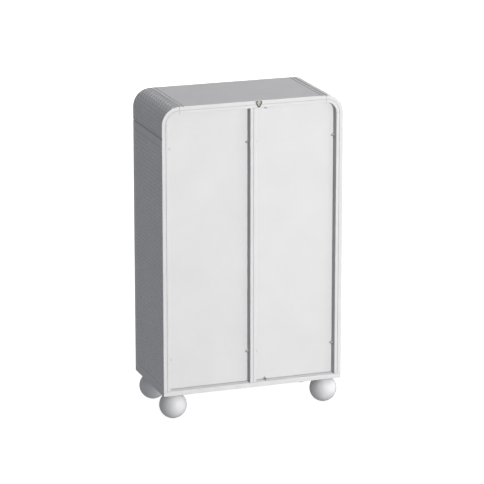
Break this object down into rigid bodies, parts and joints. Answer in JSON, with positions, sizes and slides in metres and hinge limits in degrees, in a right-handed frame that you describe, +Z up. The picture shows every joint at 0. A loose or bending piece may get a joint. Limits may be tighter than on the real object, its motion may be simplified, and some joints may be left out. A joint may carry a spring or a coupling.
{
  "type": "bedside cabinet",
  "caption": "Tall two-door cabinet with rounded top corners, carved lattice sides, recessed back panels, inner shelves and ball feet.",
  "frame": {"origin": "on the floor, under the middle of the whole object's bounding box", "axes": "+Z up; the doors face -Y and the recessed back faces +Y; +X is to the right of someone facing the doors"},
  "size_m": [0.812, 0.4352, 1.3825],
  "materials": {
    "satin_lacquer": "satin white lacquer over fibreboard",
    "gloss_lacquer": "high-gloss white lacquer over turned wood",
    "aged_brass": "aged brass, brushed",
    "zinc_steel": "zinc-plated steel",
    "white_nylon": "moulded nylon",
    "clear_rubber": "soft translucent rubber",
    "beech": "fluted beech"
  },
  "bodies": {
    "cabinet": {"assembly_dowels": "beech", "back_panel_left": "satin_lacquer", "back_panel_pins": "zinc_steel", "back_panel_right": "satin_lacquer", "back_panel_wedges": "white_nylon", "back_stop_battens": "satin_lacquer", "ball_foot_back_left": "gloss_lacquer", "ball_foot_back_right": "gloss_lacquer", "ball_foot_front_left": "gloss_lacquer", "ball_foot_front_right": "gloss_lacquer", "base_board": "satin_lacquer", "catch_housings": "white_nylon", "catch_magnets": "zinc_steel", "catch_screws": "zinc_steel", "corner_cladding_left": "satin_lacquer", "corner_cladding_right": "satin_lacquer", "door_bumpers": "clear_rubber", "foot_glides": "white_nylon", "foot_studs": "zinc_steel", "foot_tee_nuts": "zinc_steel", "hinge_case_leaves_left": "aged_brass", "hinge_case_leaves_right": "aged_brass", "hinge_case_screws": "aged_brass", "hinge_pins": "aged_brass", "inner_corner_left": "satin_lacquer", "inner_corner_right": "satin_lacquer", "inner_side_left": "satin_lacquer", "inner_side_right": "satin_lacquer", "inner_top_board": "satin_lacquer", "partition_left": "satin_lacquer", "partition_right": "satin_lacquer", "shelf_left_lower": "satin_lacquer", "shelf_left_middle": "satin_lacquer", "shelf_left_upper": "satin_lacquer", "shelf_pins": "zinc_steel", "shelf_right_lower": "satin_lacquer", "shelf_right_middle": "satin_lacquer", "shelf_right_upper": "satin_lacquer", "side_cladding_left": "satin_lacquer", "side_cladding_right": "satin_lacquer", "tether_screw": "zinc_steel", "tether_strap": "white_nylon", "top_plate": "satin_lacquer"},
    "door_left": {"door_frame_left": "satin_lacquer", "door_panel_left": "satin_lacquer", "hinge_door_leaves_left": "aged_brass", "hinge_door_screws_left": "aged_brass", "knob_left": "aged_brass", "knob_screw_left": "zinc_steel", "strike_plate_left": "zinc_steel", "strike_screws_left": "zinc_steel"},
    "door_right": {"door_frame_right": "satin_lacquer", "door_panel_right": "satin_lacquer", "hinge_door_leaves_right": "aged_brass", "hinge_door_screws_right": "aged_brass", "knob_right": "aged_brass", "knob_screw_right": "zinc_steel", "strike_plate_right": "zinc_steel", "strike_screws_right": "zinc_steel"},
    "ring": {"tether_ring": "aged_brass"}
  },
  "joints": [
    {"name": "door_left_hinge", "type": "hinge", "parent": "cabinet", "child": "door_left", "pos_m": [-0.3732, -0.19478, 0.737], "axis": [0, 0, -1], "range_deg": [0, 170]},
    {"name": "door_right_hinge", "type": "hinge", "parent": "cabinet", "child": "door_right", "pos_m": [0.3732, -0.19478, 0.737], "axis": [0, 0, 1], "range_deg": [0, 170]},
    {"name": "ring_swing", "type": "hinge", "parent": "cabinet", "child": "ring", "pos_m": [-0.0235, 0.21452, 1.379], "axis": [1, 0, 0], "range_deg": [0, 190]}
  ]
}
